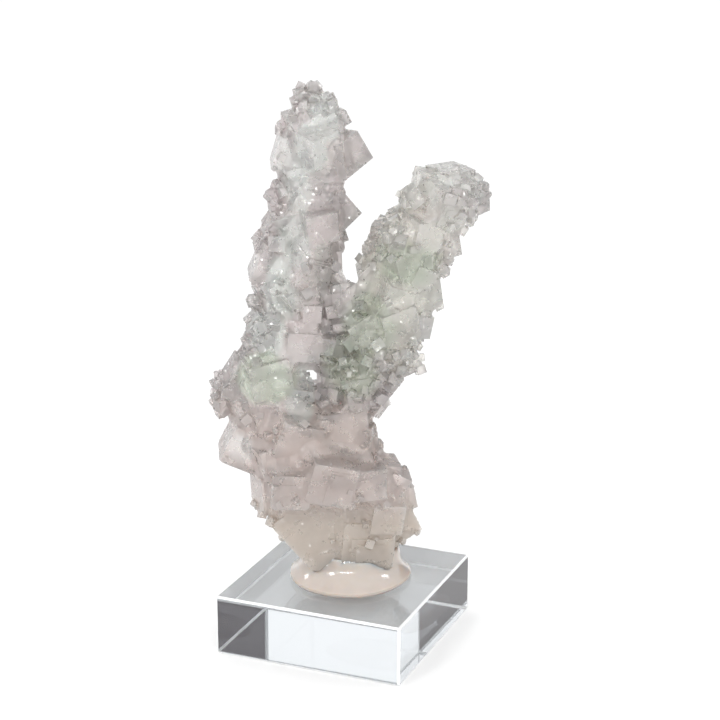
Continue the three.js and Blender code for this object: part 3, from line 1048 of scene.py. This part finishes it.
putty_mesh = boolean(putty_body(), foot_cutter(), "DIFFERENCE")
putty_mesh.transform(TO_WORLD)
putty = new_object("mounting_putty", putty_mesh)
putty_mesh.materials.clear()
putty_mesh.materials.append(putty_material())
for face in putty_mesh.polygons:
    face.use_smooth = True
putty_mesh.set_sharp_from_angle(angle=PUTTY_SHARP_ANGLE)
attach(putty, "root")
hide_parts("putty")


# Floor, surroundings and lights

FLOOR_SIDE = 8.0
FLOOR_DROP = 0.0001
FLOOR_GREY = 0.9
FLOOR_ROUGHNESS = 0.8


def make_floor():
    half = FLOOR_SIDE / 2
    corners = [(-half, -half, 0), (half, -half, 0), (half, half, 0), (-half, half, 0)]
    mesh = mesh_from("floor", corners, [(0, 1, 2, 3)])
    floor = new_object("floor", mesh)
    floor.location.z = -FLOOR_DROP
    material, tree, shader = new_material("pale_floor")
    settle(shader, {
        "Base Color": (FLOOR_GREY, FLOOR_GREY, FLOOR_GREY, 1),
        "Roughness": FLOOR_ROUGHNESS,
    })
    mesh.materials.append(material)


# The clear block shows two dark parts of the room in its ends: one behind to the right and one in
# front to the left. Each is a heading and a half width in degrees, and how dark it is.
DARK_PARTS = ((67.4, 18, 0.88), (247.4, 20, 0.9))
DARK_TINT = (1.0, 0.9, 0.97)
DARK_CORE = 0.8
DARK_TOP = (0.5, 0.6)
SMALLEST_FLAT = 0.001


def make_world():
    world = bpy.data.worlds.new("studio")
    bpy.context.scene.world = world
    world.use_nodes = True
    tree = world.node_tree
    background = tree.nodes["Background"]
    direction = tree.nodes.new("ShaderNodeTexCoord").outputs["Generated"]
    height = xyz(tree, direction)[2]
    squared = math_node(tree, "POWER", height, 2.0)
    flat = math_node(tree, "SQRT", math_node(tree, "SUBTRACT", 1.0, squared))
    flat = math_node(tree, "MAXIMUM", flat, SMALLEST_FLAT)
    dark = None
    for heading, half_width, depth in DARK_PARTS:
        heading, spread = math.radians(heading), math.radians(half_width)
        towards = (math.cos(heading), math.sin(heading), 0)
        along = vector_node(tree, "DOT_PRODUCT", direction, towards, output="Value")
        facing = math_node(tree, "DIVIDE", along, flat)
        edge, core = math.cos(spread), math.cos(spread * DARK_CORE)
        sector = ramp(tree, facing, edge, core, 0.0, depth)
        dark = sector if dark is None else math_node(tree, "MAXIMUM", dark, sector)
    dark = math_node(tree, "MULTIPLY", dark, ramp(tree, height, *DARK_TOP, 1.0, 0.0))
    feed(tree, background.inputs["Strength"], math_node(tree, "SUBTRACT", 1.0, dark))
    feed(tree, background.inputs["Color"], mix_colour(tree, dark, (1, 1, 1), DARK_TINT))


# Small lights for the glints: name, place, what it is aimed at, size and power
MIDDLE = (0, 0, 0.08)
PUTTY_PLACE = (0, 0, 0.05)
AREA_LIGHTS = [
    ("key", (-0.25, -0.75, 0.75), MIDDLE, (0.14, 0.14), 1.1),
    ("rim", (0.75, 0.35, 0.7), MIDDLE, (0.09, 0.09), 0.8),
    ("low_right", (0.65, -0.7, 0.3), MIDDLE, (0.14, 0.14), 0.9),
    ("low_left", (-0.35, -0.9, 0.25), MIDDLE, (0.14, 0.14), 0.9),
    ("left", (-0.85, -0.1, 0.5), MIDDLE, (0.13, 0.13), 0.6),
    ("strip", (0.25, -0.8, 0.85), PUTTY_PLACE, (0.5, 0.03), 1.6),
]
SKY_FROM = (-0.05, -0.1, 1.0)
SKY_SPREAD = math.radians(96)
SKY_STRENGTH = 0.5


def area_light(name, place, target, size, power):
    data = bpy.data.lights.new(name, "AREA")
    data.shape = "RECTANGLE"
    data.size, data.size_y = size
    data.energy = power
    light = new_object(name, data)
    light.location = place
    aim = Vector(target) - Vector(place)
    light.rotation_euler = aim.to_track_quat("-Z", "Y").to_euler()


def sky_panel():
    """A very wide soft light from above."""
    data = bpy.data.lights.new("sky_panel", "SUN")
    data.energy = SKY_STRENGTH
    data.angle = SKY_SPREAD
    light = new_object("sky_panel", data)
    light.rotation_euler = (-Vector(SKY_FROM)).to_track_quat("-Z", "Y").to_euler()


make_floor()
make_world()
sky_panel()
for light_values in AREA_LIGHTS:
    area_light(*light_values)

scene = bpy.context.scene
scene.view_settings.view_transform = "Standard"
scene.view_settings.look = "None"
